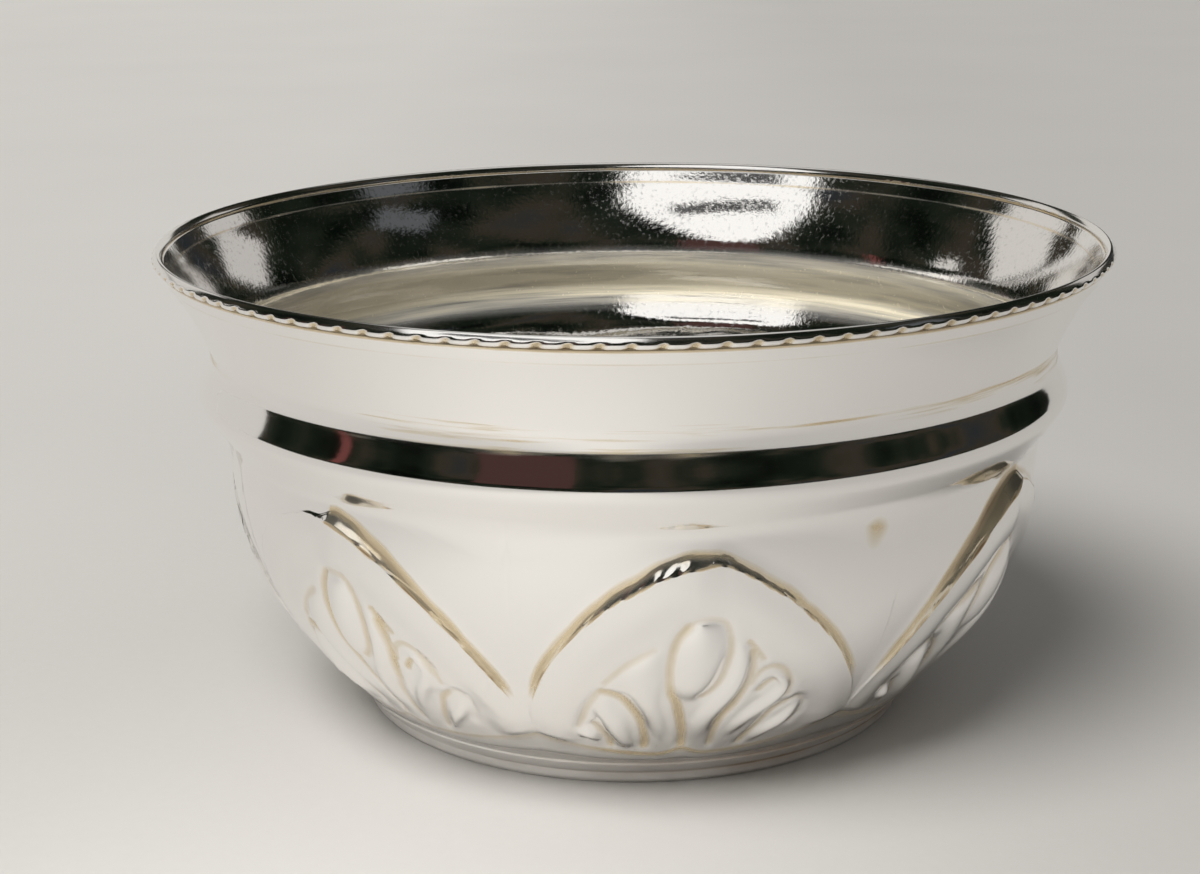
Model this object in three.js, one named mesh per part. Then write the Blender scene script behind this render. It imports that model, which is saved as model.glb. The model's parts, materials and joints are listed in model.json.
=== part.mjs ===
// A small silver bowl: a spun sheet body with a flared lip, a rounded shoulder
// and seven embossed arch panels, a milled wire round the rim, and a low
// turned ring that it stands on.
// Millimetres, +Z up. The origin is on the axis, on the plane that the foot rests on.

import * as THREE from "three";

// Sheet and joints
const SHEET = 0.7; // wall of the spun body
const SOLDER_GAP = 0.12; // room for solder between the wire and the lip's edge

// Foot ring
const FOOT_RADIUS = 26.4; // outer edge of the face that rests on the table
const FOOT_FACE = 1.3; // width of that face
const FOOT_HEIGHT = 2.6; // table to the seat under the body
const FOOT_SPREAD = 1.3; // how far the ring widens from the table to the seat
const FOOT_STEP = 0.35; // ledge turned half way up the ring's outside
const FOOT_CHAMFER = 0.4; // height of the slope just above the table
const SEAT_WIDTH = 1.7; // width of the face that the body sits on
const SEAT_MARGIN = 0.3; // how far the body's flat seat runs past it each way
const BASE_RECESS = 1.0; // how far the flat of the bottom hangs below the seat
const BASE_SLOPE = 2.0; // width of the slope from the seat to that flat

// Body, from the seat upwards
const BOWL_RADIUS = 39.2; // outside, at the top of the belly
const BELLY_RISE = 24.4; // seat to the top of the belly
const BELLY_POWER = 2.15; // how full the belly is: 2 would be a parabola
const CREASE_RISE = 1.3; // soft crease between the belly and the shoulder
const SHOULDER_LEAN = THREE.MathUtils.degToRad(36); // underside of the shoulder, from the vertical
const UNDERSIDE_RISE = 2.2; // straight part of that underside
const SHOULDER_RISE = 1.3; // from there to the widest line
const SHOULDER_SWELL = 2.6; // widest line's radius past the belly's
const NECK_PINCH = 1.25; // neck's radius inside the shoulder's
const NECK_RISE = 3.2; // widest line to the neck
const NECK_LENGTH = 1.2; // upright part of the neck
const FLARE_SPREAD = 3.75; // neck to the start of the lip, outwards
const FLARE_RISE = 6.9; // neck to the start of the lip, upwards
const FLARE_FOOT_LEAN = THREE.MathUtils.degToRad(20); // flare at the neck, from the vertical
const FLARE_TOP_LEAN = THREE.MathUtils.degToRad(36); // flare at the lip, from the vertical
const LIP_LENGTH = 1.35; // sloping lip, from its crease to the rim wire
const LIP_LEAN = THREE.MathUtils.degToRad(30); // lip from the vertical

// Rim wire
const WIRE_RADIUS = 0.54;
const NOTCH_COUNT = 116; // notches milled along its lower outer side
const NOTCH_DEPTH = 0.2;

// Embossed panels
const PANEL_COUNT = 7;
const PANEL_TURN = THREE.MathUtils.degToRad(10); // first panel, from -Y towards +X
const PANEL_RELIEF = 0.95; // height of the border band over the plain body
const PANEL_SHOULDER_GAP = 1.0; // top of the crease down to the point of the arch
const PANEL_SPRING_RISE = 4.6; // seat up to where neighbouring arches meet
const PANEL_TOE_RISE = 1.0; // seat up to the panel's lowest edge
const PANEL_TOE_LIFT = 2.2; // how much higher that edge is between panels
const ARCH_POWER = 1.55; // 1 is a straight gable, 2 an ellipse
const LEDGE_WIDTH = 1.2; // steep outer edge of a panel
const BORDER_WIDTH = 2.2; // smooth border inside the ledge
const DIP_WIDTH = 3.2; // slope from the border down to the sunken field
const FIELD_RELIEF = 0.4; // height of the field over the plain body
const LOBE_RELIEF = 0.45; // height of the palmette's lobes over the field

// Palmette: lobes fan out from a root below the panel's middle, alike on both sides
const LOBES = [
  { lean: 0, length: 17, width: 5.4 },
  { lean: 25, length: 14.5, width: 3.6 },
  { lean: 47, length: 12.5, width: 3.6 },
];
const LOBE_ROOT_DROP = 1.4; // root below the panel's lowest edge

// Facets
const OUTER_FIELD_ROWS = 9; // rows inside a panel's edge, on the outside and the inside
const INNER_FIELD_ROWS = 5;
const OUTER_PLAIN_ROWS = 4; // rows from a panel's edge up to the crease
const INNER_PLAIN_ROWS = 3;
const OUTER_ROW_HEIGHT = 1.1; // tallest row above the crease
const INNER_ROW_HEIGHT = 2.2;
const COLUMNS_PER_PANEL = 14;
const FOOT_COLUMNS = 84;
const COLUMNS_PER_NOTCH = 2;
const WIRE_SIDES = 8;
const SLOPE_STEP = 0.01; // half the height over which a slope is measured

// Heights and radii that follow from these
const SEAT_OUTER = FOOT_RADIUS + FOOT_SPREAD;
const SEAT_INNER = SEAT_OUTER - SEAT_WIDTH;
const BELLY_FOOT = SEAT_OUTER + SEAT_MARGIN;
const BELLY_TOP = FOOT_HEIGHT + BELLY_RISE;
const CREASE_HEIGHT = BELLY_TOP + CREASE_RISE;
const UNDERSIDE_TOP = CREASE_HEIGHT + UNDERSIDE_RISE;
const SHOULDER_HEIGHT = UNDERSIDE_TOP + SHOULDER_RISE;
const NECK_FOOT = SHOULDER_HEIGHT + NECK_RISE;
const NECK_HEIGHT = NECK_FOOT + NECK_LENGTH;
const LIP_HEIGHT = NECK_HEIGHT + FLARE_RISE;
const CREASE_RADIUS = BOWL_RADIUS + (CREASE_RISE / 2) * Math.tan(SHOULDER_LEAN);
const UNDERSIDE_RADIUS = CREASE_RADIUS + UNDERSIDE_RISE * Math.tan(SHOULDER_LEAN);
const SHOULDER_RADIUS = BOWL_RADIUS + SHOULDER_SWELL;
const NECK_RADIUS = SHOULDER_RADIUS - NECK_PINCH;
const LIP_RADIUS = NECK_RADIUS + FLARE_SPREAD;
const SPRING_HEIGHT = FOOT_HEIGHT + PANEL_SPRING_RISE;
const APEX_HEIGHT = CREASE_HEIGHT - PANEL_SHOULDER_GAP;
const TOE_HEIGHT = FOOT_HEIGHT + PANEL_TOE_RISE;
const HALF_PANEL = Math.PI / PANEL_COUNT;
const MEAN_RADIUS = (BELLY_FOOT + BOWL_RADIUS) / 2;

const { clamp, smoothstep, lerp } = THREE.MathUtils;

function silver(color, roughness) {
  return new THREE.MeshStandardMaterial({ color, roughness, metalness: 1 });
}

// A stretch of the section: from one height, radius and lean up to another
function stretch(bottom, bottomRadius, bottomLean, top, topRadius, topLean) {
  return { bottom, bottomRadius, bottomLean, top, topRadius, topLean };
}

// The section above the belly
const STRETCHES = [
  stretch(BELLY_TOP, BOWL_RADIUS, 0, CREASE_HEIGHT, CREASE_RADIUS, SHOULDER_LEAN),
  stretch(CREASE_HEIGHT, CREASE_RADIUS, SHOULDER_LEAN, UNDERSIDE_TOP, UNDERSIDE_RADIUS, SHOULDER_LEAN),
  stretch(UNDERSIDE_TOP, UNDERSIDE_RADIUS, SHOULDER_LEAN, SHOULDER_HEIGHT, SHOULDER_RADIUS, 0),
  stretch(SHOULDER_HEIGHT, SHOULDER_RADIUS, 0, NECK_FOOT, NECK_RADIUS, 0),
  stretch(NECK_FOOT, NECK_RADIUS, 0, NECK_HEIGHT, NECK_RADIUS, 0),
  stretch(NECK_HEIGHT, NECK_RADIUS, FLARE_FOOT_LEAN, LIP_HEIGHT, LIP_RADIUS, FLARE_TOP_LEAN),
];

// Radius at a height in a stretch: a cubic that has the right lean at both ends
function radiusInStretch({ bottom, bottomRadius, bottomLean, top, topRadius, topLean }, z) {
  const span = top - bottom;
  const t = (z - bottom) / span;
  const ends = (1 + 2 * t) * (1 - t) ** 2 * bottomRadius + t * t * (3 - 2 * t) * topRadius;
  return ends + span * (t * (1 - t) ** 2 * Math.tan(bottomLean) - t * t * (1 - t) * Math.tan(topLean));
}

// Radius of the plain body's outside at a height between the seat and the lip
function bodyRadius(z) {
  if (z <= BELLY_TOP) {
    const drop = clamp((BELLY_TOP - z) / BELLY_RISE, 0, 1);
    return lerp(BOWL_RADIUS, BELLY_FOOT, drop ** BELLY_POWER);
  }
  return radiusInStretch(STRETCHES.find(({ top }) => z <= top) ?? STRETCHES.at(-1), z);
}

// Outward normal of the plain body in the plane of the axis, as (radial, up)
function bodyNormal(z) {
  const slope = (bodyRadius(z + SLOPE_STEP) - bodyRadius(z - SLOPE_STEP)) / (2 * SLOPE_STEP);
  return new THREE.Vector2(1, -slope).normalize();
}

// Height of a panel's outer edge at an angle from its middle
function archHeight(angle) {
  const side = clamp(Math.abs(angle) / HALF_PANEL, 0, 1);
  return SPRING_HEIGHT + (APEX_HEIGHT - SPRING_HEIGHT) * (1 - side ** ARCH_POWER) ** (1 / ARCH_POWER);
}

// Height of a panel's lower edge, which is scalloped
function toeHeight(angle) {
  return TOE_HEIGHT + PANEL_TOE_LIFT * (angle / HALF_PANEL) ** 2;
}

// Distance in from a panel's outer edge
function depthInPanel(angle, z) {
  const side = Math.abs(angle) / HALF_PANEL;
  const up = Math.max(0, z - SPRING_HEIGHT) / (APEX_HEIGHT - SPRING_HEIGHT);
  const level = (side ** ARCH_POWER + up ** ARCH_POWER) ** (1 / ARCH_POWER);
  return (1 - level) * (APEX_HEIGHT - SPRING_HEIGHT);
}

// Swelling of the palmette at a place in the panel. A lobe is widest past the
// middle of its length, and round across.
function lobeSwell(angle, z) {
  const across = Math.abs(angle) * MEAN_RADIUS;
  const up = z - (TOE_HEIGHT - LOBE_ROOT_DROP);
  let swell = 0;
  for (const { lean, length, width } of LOBES) {
    const tilt = THREE.MathUtils.degToRad(lean);
    const along = clamp((across * Math.sin(tilt) + up * Math.cos(tilt)) / length, 0, 1);
    const aside = Math.abs(across * Math.cos(tilt) - up * Math.sin(tilt));
    const half = (width / 2) * Math.sqrt(Math.max(0, Math.sin(Math.PI * along ** 2)));
    if (aside < half) {
      swell = Math.max(swell, 1 - (aside / half) ** 2);
    }
  }
  return swell;
}

// Height of the embossing over the plain body
function relief(angle, z) {
  const depth = depthInPanel(angle, z);
  const ledge = smoothstep(depth, 0, LEDGE_WIDTH);
  const dip = LEDGE_WIDTH + BORDER_WIDTH;
  const inner = smoothstep(depth, dip, dip + DIP_WIDTH);
  const field = lerp(PANEL_RELIEF, FIELD_RELIEF + LOBE_RELIEF * lobeSwell(angle, z), inner);
  const toe = smoothstep(z, toeHeight(angle), toeHeight(angle) + LEDGE_WIDTH);
  return ledge * field * toe;
}

// One row of the body: its height at an angle, its side of the sheet, and
// whether the embossing reaches it
function row(height, inside, embossed = false) {
  return { height, inside, embossed };
}

// Rows from the seat up to the crease, drawn together along the panels' edges
function bellyRows(inside, fieldCount, plainCount) {
  const ledgeTop = (angle) => Math.max(archHeight(angle) - LEDGE_WIDTH, toeHeight(angle));
  const rows = [];
  for (let i = 0; i <= fieldCount; i += 1) {
    rows.push(row((angle) => lerp(toeHeight(angle), ledgeTop(angle), i / fieldCount), inside, true));
  }
  for (let i = 0; i < plainCount; i += 1) {
    rows.push(row((angle) => lerp(archHeight(angle), CREASE_HEIGHT, i / plainCount), inside, true));
  }
  return rows;
}

// Rows from the crease up to the lip
function upperRows(inside, rowHeight) {
  const rows = [];
  for (const { bottom, top } of STRETCHES.slice(1)) {
    const count = Math.ceil((top - bottom) / rowHeight);
    for (let i = 0; i < count; i += 1) {
      rows.push(row(() => lerp(bottom, top, i / count), inside));
    }
  }
  return [...rows, row(() => LIP_HEIGHT, inside)];
}

// Where a row lies at an angle from its panel's middle, as (radius, height)
function rowPoint({ height, inside, embossed }, angle) {
  const z = height(angle);
  const normal = bodyNormal(z);
  const lift = (embossed ? relief(angle, z) : 0) - (inside ? SHEET : 0);
  return new THREE.Vector2(bodyRadius(z), z).addScaledVector(normal, lift);
}

// Turns a lathe's axis from Y to +Z
function standUp(geometry) {
  return geometry.rotateX(Math.PI / 2);
}

const lipWay = new THREE.Vector2(Math.sin(LIP_LEAN), Math.cos(LIP_LEAN));
const lipNormal = new THREE.Vector2(lipWay.y, -lipWay.x);
const lipEnd = new THREE.Vector2(LIP_RADIUS, LIP_HEIGHT).addScaledVector(lipWay, LIP_LENGTH);
const lipEndInside = lipEnd.clone().addScaledVector(lipNormal, -SHEET);
const wireCentre = lipEnd
  .clone()
  .addScaledVector(lipNormal, -SHEET / 2)
  .addScaledVector(lipWay, WIRE_RADIUS + SOLDER_GAP);

// The body's section: out along the underside, up the outside, over the lip's
// edge, down the inside and back along the floor
function bodyGeometry() {
  const bottom = FOOT_HEIGHT - BASE_RECESS;
  const flatRadius = SEAT_INNER - SEAT_MARGIN - BASE_SLOPE;
  const below = [
    new THREE.Vector2(0, bottom),
    new THREE.Vector2(flatRadius, bottom),
    new THREE.Vector2(SEAT_INNER - SEAT_MARGIN, FOOT_HEIGHT),
    new THREE.Vector2(BELLY_FOOT, FOOT_HEIGHT),
  ];
  const outside = [
    ...bellyRows(false, OUTER_FIELD_ROWS, OUTER_PLAIN_ROWS),
    ...upperRows(false, OUTER_ROW_HEIGHT),
  ];
  const inside = [
    ...bellyRows(true, INNER_FIELD_ROWS, INNER_PLAIN_ROWS),
    ...upperRows(true, INNER_ROW_HEIGHT),
  ].reverse();
  const floor = [
    rowPoint(row(() => FOOT_HEIGHT + SHEET, true), 0),
    new THREE.Vector2(flatRadius, bottom + SHEET),
    new THREE.Vector2(0, bottom + SHEET),
  ];
  const fixed = (point) => () => point;
  const moving = (entry) => (angle) => rowPoint(entry, angle);
  const section = [
    ...below.map(fixed),
    ...outside.map(moving),
    fixed(lipEnd),
    fixed(lipEndInside),
    ...inside.map(moving),
    ...floor.map(fixed),
  ];

  const columns = PANEL_COUNT * COLUMNS_PER_PANEL;
  const lathe = new THREE.LatheGeometry(section.map((at) => at(0)), columns);
  const position = lathe.getAttribute("position");
  for (let column = 0; column <= columns; column += 1) {
    const inPanel = (column % COLUMNS_PER_PANEL) / COLUMNS_PER_PANEL;
    const angle = (inPanel < 0.5 ? inPanel : inPanel - 1) * 2 * HALF_PANEL;
    const turn = (column % columns) * ((2 * Math.PI) / columns);
    section.forEach((at, index) => {
      const point = at(angle);
      const x = point.x * Math.sin(turn);
      const z = point.x * Math.cos(turn);
      position.setXYZ(column * section.length + index, x, point.y, z);
    });
  }
  return standUp(lathe).rotateZ(PANEL_TURN);
}

// Round wire with notches between its teeth along the lower outer side
function rimWireGeometry() {
  const section = [];
  for (let i = 0; i <= WIRE_SIDES; i += 1) {
    const around = ((i % WIRE_SIDES) * 2 * Math.PI) / WIRE_SIDES;
    const offset = new THREE.Vector2(Math.cos(around), Math.sin(around));
    section.push(wireCentre.clone().addScaledVector(offset, WIRE_RADIUS));
  }
  const columns = NOTCH_COUNT * COLUMNS_PER_NOTCH;
  const lathe = new THREE.LatheGeometry(section, columns);
  const position = lathe.getAttribute("position");
  const lowerOuter = WIRE_SIDES - 1;
  for (let column = 1; column < columns; column += COLUMNS_PER_NOTCH) {
    const index = column * section.length + lowerOuter;
    const radius = Math.hypot(position.getX(index), position.getZ(index));
    const cut = (radius - NOTCH_DEPTH) / radius;
    position.setX(index, position.getX(index) * cut);
    position.setZ(index, position.getZ(index) * cut);
    position.setY(index, position.getY(index) + NOTCH_DEPTH);
  }
  return standUp(lathe);
}

// Low ring with a turned ledge, wider at the seat than at the table
function footRingGeometry() {
  const innerFoot = FOOT_RADIUS - FOOT_FACE;
  const middle = FOOT_HEIGHT / 2;
  const ledge = FOOT_RADIUS + FOOT_STEP;
  const section = [
    new THREE.Vector2(innerFoot, 0),
    new THREE.Vector2(FOOT_RADIUS, 0),
    new THREE.Vector2(ledge, FOOT_CHAMFER),
    new THREE.Vector2(ledge, middle - FOOT_STEP / 2),
    new THREE.Vector2(ledge + FOOT_STEP, middle + FOOT_STEP / 2),
    new THREE.Vector2(SEAT_OUTER, FOOT_HEIGHT - FOOT_STEP),
    new THREE.Vector2(SEAT_OUTER, FOOT_HEIGHT),
    new THREE.Vector2(SEAT_INNER, FOOT_HEIGHT),
    new THREE.Vector2(innerFoot, middle),
    new THREE.Vector2(innerFoot, 0),
  ];
  return standUp(new THREE.LatheGeometry(section, FOOT_COLUMNS));
}

function piece(name, geometry, material) {
  const mesh = new THREE.Mesh(geometry, material);
  mesh.name = name;
  return mesh;
}

const group = new THREE.Group();
group.add(
  piece("bowl_body", bodyGeometry(), silver(0xdedad4, 0.14)),
  piece("rim_wire", rimWireGeometry(), silver(0xe2ded6, 0.2)),
  piece("foot_ring", footRingGeometry(), silver(0xc9c5be, 0.28)),
);

export default group;
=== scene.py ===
# %% [markdown]
# A small silver bowl
#
# The bowl is a spun sheet of silver with a wire soldered round its lip and a low turned ring
# under it. Its lower half carries seven embossed panels, pointed arches with a palmette in each.
# Polished metal has almost no colour of its own: what the eye reads is the room in it. So the
# shapes have to be exact, and the table, the dark room and the lamp matter as much as the metal.
#
# The CAD model is loaded first. It says where everything is, in metres, with +Z up, and it isn't
# moved or changed here. Each of its three solids gets a finer piece that stands for it.

# %% Load the frame
import json
import math

import bmesh
import bpy
import numpy as np
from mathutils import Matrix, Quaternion, Vector

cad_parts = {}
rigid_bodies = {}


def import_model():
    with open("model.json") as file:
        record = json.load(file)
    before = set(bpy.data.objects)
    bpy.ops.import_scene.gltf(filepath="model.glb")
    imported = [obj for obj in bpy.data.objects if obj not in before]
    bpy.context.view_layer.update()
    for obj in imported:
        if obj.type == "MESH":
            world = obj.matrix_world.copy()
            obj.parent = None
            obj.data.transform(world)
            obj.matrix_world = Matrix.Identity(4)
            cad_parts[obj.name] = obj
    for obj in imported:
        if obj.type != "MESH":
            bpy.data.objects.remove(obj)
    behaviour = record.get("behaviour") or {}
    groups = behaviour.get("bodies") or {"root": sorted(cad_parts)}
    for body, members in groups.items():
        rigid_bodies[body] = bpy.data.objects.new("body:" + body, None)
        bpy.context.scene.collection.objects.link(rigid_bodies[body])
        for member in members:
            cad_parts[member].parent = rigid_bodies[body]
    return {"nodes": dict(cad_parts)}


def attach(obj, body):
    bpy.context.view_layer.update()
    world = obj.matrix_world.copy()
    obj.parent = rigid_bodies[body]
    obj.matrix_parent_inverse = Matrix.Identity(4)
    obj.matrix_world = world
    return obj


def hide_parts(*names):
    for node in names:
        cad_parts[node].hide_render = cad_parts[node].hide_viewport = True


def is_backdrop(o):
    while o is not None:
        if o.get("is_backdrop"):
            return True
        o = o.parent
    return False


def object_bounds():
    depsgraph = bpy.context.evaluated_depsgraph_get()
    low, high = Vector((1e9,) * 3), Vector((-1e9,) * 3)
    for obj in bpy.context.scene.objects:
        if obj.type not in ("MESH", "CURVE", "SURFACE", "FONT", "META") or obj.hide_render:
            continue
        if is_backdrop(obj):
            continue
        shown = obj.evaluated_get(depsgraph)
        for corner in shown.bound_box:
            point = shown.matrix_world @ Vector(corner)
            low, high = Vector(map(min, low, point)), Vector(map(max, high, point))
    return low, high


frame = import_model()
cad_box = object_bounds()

MM = 0.001
print("CAD nodes:", ", ".join(sorted(frame["nodes"])))
print("CAD box in mm:", [[round(value / MM, 2) for value in corner] for corner in cad_box])

# %% [markdown]
# The camera
#
# The picture was taken from close by, a little above the rim, with a long lens. A camera can be
# placed by hand until the drawing fits, but here the ellipses of the rim and the foot give its
# distance and height, so it is set once and left. A quaternion that tracks the viewing direction
# keeps the horizon level, and a second one gives the slight tilt of a hand-held camera.

# %% Place the camera
CAMERA_PLACE = (0.0, -0.20941, 0.08335)
LOOKS_DOWN = 0.2716
LOOKS_LEFT = 0.0155
TILT = -0.0078
LENS = 66.0
SENSOR = 36.0


def direction(azimuth, elevation):
    """Unit vector towards a place round the bowl: 0 is the camera's side, positive to the right."""
    flat = math.cos(elevation)
    return Vector((math.sin(azimuth) * flat, -math.cos(azimuth) * flat, math.sin(elevation)))


camera_data = bpy.data.cameras.new("camera")
camera_data.lens = LENS
camera_data.sensor_width = SENSOR
camera = bpy.data.objects.new("camera", camera_data)
camera.location = CAMERA_PLACE
ahead = -direction(LOOKS_LEFT, LOOKS_DOWN)
camera.rotation_mode = "QUATERNION"
camera.rotation_quaternion = ahead.to_track_quat("-Z", "Y") @ Quaternion((0, 0, 1), TILT)
bpy.context.scene.collection.objects.link(camera)
bpy.context.scene.camera = camera
print("Camera looks along", [round(value, 4) for value in ahead])

# %% [markdown]
# The section of the bowl
#
# A bowl like this is spun: a disc of silver turns on a lathe and a tool presses it over a form.
# Its whole shape is one curve, the section. Drawing it as a formula rather than as a list of
# points means that any number of rows can be taken from it, and that its slope, which decides
# what a polished wall reflects, is smooth.

# %% Radius of the plain wall
SHEET = 0.7
SEAT = 2.6
BELLY_FOOT = 28.0
BELLY_RADIUS = 39.2
BELLY_TOP = 27.0
BELLY_POWER = 2.15
STRETCHES = {
    "crease": ((BELLY_RADIUS, BELLY_TOP, 0), (39.672, 28.3, 36)),
    "underside": ((39.672, 28.3, 36), (41.27, 30.5, 36)),
    "dome": ((41.27, 30.5, 36), (41.74, 31.75, 0)),
    "turn": ((41.74, 31.75, 0), (41.57, 32.55, -23)),
    "pinch": ((41.57, 32.55, -23), (40.81, 34.35, -23)),
    "hollow": ((40.81, 34.35, -23), (40.64, 35.15, 0)),
    "neck": ((40.64, 35.15, 0), (40.64, 36.2, 0)),
    "flare": ((40.64, 36.2, 20), (44.3, 43.1, 36)),
    "lip": ((44.3, 43.1, 30), (44.975, 44.27, 30)),
}


def blend(z, foot, top):
    """Radius at a height between two (radius, height, lean) corners, by a cubic with both leans."""
    span = top[1] - foot[1]
    t = (z - foot[1]) / span
    ends = (1 + 2 * t) * (1 - t) ** 2 * foot[0] + t * t * (3 - 2 * t) * top[0]
    foot_slope, top_slope = math.tan(math.radians(foot[2])), math.tan(math.radians(top[2]))
    return ends + span * (t * (1 - t) ** 2 * foot_slope - t * t * (1 - t) * top_slope)


def wall_radius(z):
    """Outside radius of the plain wall at a height, both in millimetres."""
    z = np.asarray(z, float)
    drop = np.clip((BELLY_TOP - z) / (BELLY_TOP - SEAT), 0, 1)
    radius = BELLY_RADIUS + (BELLY_FOOT - BELLY_RADIUS) * drop ** BELLY_POWER
    for foot, top in STRETCHES.values():
        radius = np.where(z > foot[1], blend(z, foot, top), radius)
    return radius


def wall_point(z, lift):
    """(radius, height) of a point that stands off the plain wall by lift, along its normal."""
    z = np.asarray(z, float)
    slope = (wall_radius(z + 0.01) - wall_radius(z - 0.01)) / 0.02
    length = np.hypot(1, slope)
    return wall_radius(z) + lift / length, z - lift * slope / length


for name, (foot, top) in STRETCHES.items():
    print(f"{name}: radius {foot[0]} to {top[0]} mm, height {foot[1]} to {top[1]} mm")

# %% [markdown]
# The outline of the panels
#
# Each panel is a pointed arch that was hammered up from inside and then chased round its edge, by
# hand, so no two are quite alike: on the photograph the middle one is lower than its neighbours
# and leans a little. An arch between a gable and an ellipse is a superellipse, so one power for
# each side and one height for each panel are enough to say how it differs.

# %% Arch and toe of each panel
PANELS = 7
FIRST_PANEL = math.radians(10)
HALF_PANEL = math.pi / PANELS
SPRING = 7.2
TOE = 3.6
APEX = np.array([25.1, 26.3, 26.4, 26.0, 26.5, 24.8, 25.9])
LEFT_POWER = np.array([1.68, 1.42, 1.55, 1.62, 1.5, 1.6, 2.3])
RIGHT_POWER = np.array([1.33, 1.5, 1.6, 1.5, 1.6, 1.35, 1.45])


def arch(panel, phi):
    """Height of a panel's crest, the upper edge of its border, at an angle from its axis."""
    side = np.clip(np.abs(phi) / HALF_PANEL, 0, 1)
    power = np.where(phi < 0, LEFT_POWER[panel], RIGHT_POWER[panel])
    return SPRING + (APEX[panel] - SPRING) * (1 - side ** power) ** (1 / power)


def toe(phi):
    """Height of a panel's lower edge: two scallops that meet in a small cusp."""
    side = phi / HALF_PANEL
    return TOE + 0.3 + 2.6 * np.abs(side) ** 2.2 + 0.9 * np.exp(-((side + 0.08) / 0.09) ** 2)


for panel in range(PANELS):
    print("Panel", panel, "quarter-way heights", np.round(arch(panel, np.array([-0.22, 0.22])), 1))

# %% [markdown]
# The palmette
#
# Inside each arch a palmette fans out from the foot: an egg-shaped lobe in the middle, a pointed
# lobe and a hooked curl beside it, and a small curl below. A chaser works in strokes, so it is
# modelled in strokes too. Each one is a line through a few places on the panel, given as
# millimetres across and up. Ridges swell the metal and grooves press it in, and a smooth curve
# through the places keeps the strokes free of corners.

# %% Strokes of the palmette
RIDGES = {
    "egg": (0.85, [
        (-1.4, 11.8, 1.3), (-1.1, 13.5, 1.95), (-0.8, 15.8, 2.25), (-0.6, 18.0, 1.95),
        (-0.4, 19.6, 1.4)]),
    "crescent": (0.72, [
        (2.2, 17.6, 0.5), (2.5, 16.0, 0.9), (2.4, 14.0, 1.0), (1.9, 12.2, 1.15),
        (1.0, 10.3, 1.35), (0.2, 8.3, 1.5), (-0.1, 6.2, 1.4)]),
    "hook": (0.72, [
        (2.8, 6.2, 0.9), (3.8, 8.0, 1.0), (5.0, 9.6, 1.0), (6.0, 10.9, 0.95), (6.6, 12.2, 0.75),
        (6.0, 13.2, 0.6), (5.1, 13.6, 0.5)]),
    "right_curl": (0.62, [(5.4, 5.0, 0.7), (6.9, 6.7, 0.85), (8.1, 7.9, 0.85), (8.9, 9.2, 0.6)]),
    "pointed_lobe": (0.62, [
        (-3.9, 17.3, 0.5), (-4.7, 15.8, 1.3), (-5.3, 13.8, 2.0), (-4.8, 11.2, 1.5),
        (-3.9, 8.6, 1.2), (-3.3, 6.0, 0.9)]),
    "left_hook": (0.78, [
        (-8.2, 11.7, 0.8), (-8.2, 10.3, 1.4), (-7.6, 8.6, 1.6), (-6.9, 6.6, 1.3),
        (-6.4, 5.4, 1.0)]),
    "left_curl": (0.6, [(-10.9, 6.9, 0.8), (-10.0, 7.2, 0.9), (-9.2, 6.3, 0.8)]),
}
GROOVES = {
    "stem": (0.34, 0.4, [
        (-1.8, 19.4), (-2.6, 18.0), (-3.0, 16.2), (-3.1, 14.1), (-2.9, 12.4), (-2.4, 11.1),
        (-2.0, 9.5), (-1.5, 7.2), (-1.3, 5.4)]),
    "egg_edge": (0.22, 0.35, [
        (-1.8, 19.4), (-1.1, 19.9), (0.0, 20.0), (0.9, 19.5), (1.4, 17.9), (1.5, 16.4),
        (1.3, 14.8), (1.0, 13.5), (0.4, 12.4), (-0.3, 11.8)]),
    "crescent_edge": (0.28, 0.38, [
        (3.3, 16.4), (3.5, 15.0), (3.5, 13.6), (3.2, 12.1), (2.6, 10.2), (1.8, 8.6), (1.5, 6.7),
        (1.5, 5.2)]),
    "notch": (0.24, 0.28, [(2.9, 17.4), (3.6, 16.4), (4.3, 15.4)]),
    "hook_edge": (0.22, 0.34, [
        (3.7, 12.7), (4.2, 14.0), (5.2, 14.5), (6.3, 13.9), (7.2, 12.4), (7.4, 10.8)]),
    "eye": (0.3, 0.3, [(4.5, 11.9), (5.0, 12.6), (5.5, 13.0)]),
    "curl_inside": (0.3, 0.35, [(7.7, 9.8), (6.7, 9.0), (6.0, 7.8), (5.2, 6.2), (4.6, 5.0)]),
    "curl_edge": (0.2, 0.34, [(7.7, 9.8), (8.6, 10.2), (9.4, 9.4), (9.5, 8.0), (9.1, 6.9)]),
    "lobe_edge": (0.18, 0.42, [
        (-4.3, 17.1), (-5.4, 16.3), (-6.5, 15.4), (-7.5, 14.3), (-8.2, 13.5)]),
    "left_hook_inside": (0.34, 0.38, [
        (-8.5, 12.5), (-7.7, 12.3), (-6.8, 11.7), (-6.0, 10.4), (-5.3, 8.7), (-4.9, 6.6),
        (-4.9, 5.3)]),
    "left_hook_outside": (0.2, 0.42, [(-8.9, 12.2), (-9.7, 10.7), (-10.3, 9.2), (-10.8, 8.0)]),
    "left_curl_inside": (0.26, 0.34, [(-9.4, 8.3), (-8.9, 7.4), (-8.4, 6.5), (-8.1, 5.5)]),
}
STROKE_STEPS = 8


def smooth_line(places):
    """Many points on a smooth curve through a few places."""
    places = np.array(places, float)
    padded = np.vstack([2 * places[0] - places[1], places, 2 * places[-1] - places[-2]])
    points = []
    for before, start, end, after in zip(padded, padded[1:], padded[2:], padded[3:]):
        for t in np.linspace(0, 1, STROKE_STEPS, endpoint=False):
            points.append(0.5 * (2 * start + (end - before) * t
                                 + (2 * before - 5 * start + 4 * end - after) * t ** 2
                                 + (3 * start - before - 3 * end + after) * t ** 3))
    points.append(places[-1])
    return np.array(points)


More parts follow.
